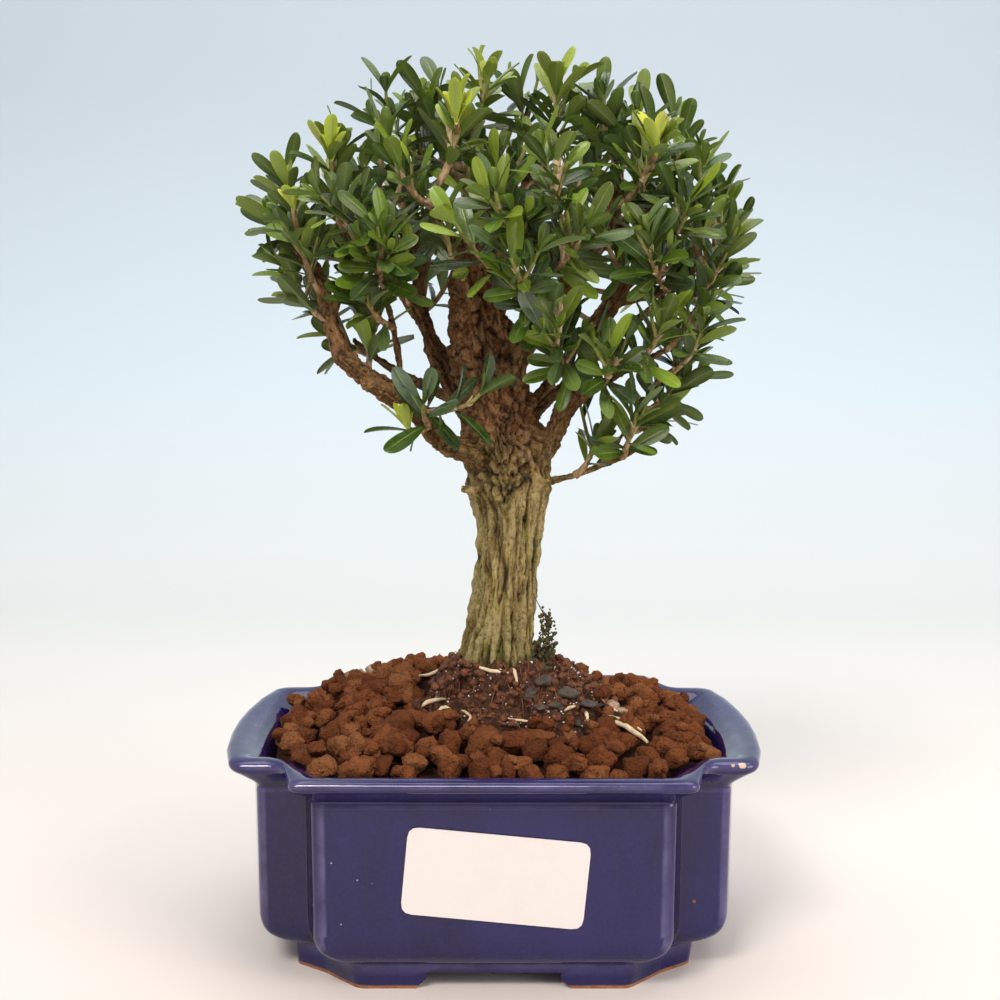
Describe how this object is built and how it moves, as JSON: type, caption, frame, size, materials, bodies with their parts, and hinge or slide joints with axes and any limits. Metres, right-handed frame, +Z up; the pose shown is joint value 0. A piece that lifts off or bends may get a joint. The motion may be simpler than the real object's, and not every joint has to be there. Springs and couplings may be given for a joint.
{
  "type": "harland boxwood bonsai",
  "caption": "Small bonsai tree with a fluted trunk, spreading limbs and a domed crown of small spoon-shaped leaves, in a glazed rectangular pot with indented corners.",
  "frame": {"origin": "on the surface under the feet of the pot, below the middle of the pot", "axes": "+Z up along the trunk, -Y towards the front with the label, +X to the right seen from the front"},
  "size_m": [0.1554, 0.1196, 0.2596],
  "materials": {
    "glaze": "gloss",
    "net": "matte",
    "paper": "satin",
    "granules": "rough",
    "peat": "rough",
    "bark": "rough",
    "foliage": "satin"
  },
  "bodies": {
    "root": {"pot": "glaze", "drain_screen_left": "net", "drain_screen_right": "net", "label": "paper", "soil": "granules", "root_mound": "peat", "tree": "bark", "spray_01": "foliage", "spray_02": "foliage", "spray_03": "foliage", "spray_04": "foliage", "spray_05": "foliage", "spray_06": "foliage", "spray_07": "foliage", "spray_08": "foliage", "spray_09": "foliage", "spray_10": "foliage", "spray_11": "foliage", "spray_12": "foliage", "spray_13": "foliage", "spray_14": "foliage", "spray_15": "foliage", "spray_16": "foliage", "spray_17": "foliage", "spray_18": "foliage", "spray_19": "foliage", "spray_20": "foliage", "spray_21": "foliage", "spray_22": "foliage", "spray_23": "foliage", "spray_24": "foliage", "spray_25": "foliage", "spray_26": "foliage", "spray_27": "foliage", "spray_28": "foliage", "spray_29": "foliage", "spray_30": "foliage", "spray_31": "foliage", "spray_32": "foliage", "spray_33": "foliage", "spray_34": "foliage", "spray_35": "foliage", "spray_36": "foliage", "spray_37": "foliage", "spray_38": "foliage", "spray_39": "foliage", "spray_40": "foliage", "spray_41": "foliage", "spray_42": "foliage", "spray_43": "foliage", "spray_44": "foliage", "spray_45": "foliage", "spray_46": "foliage", "spray_47": "foliage", "spray_48": "foliage", "spray_49": "foliage", "spray_50": "foliage", "spray_51": "foliage", "spray_52": "foliage", "spray_53": "foliage"}
  },
  "joints": []
}
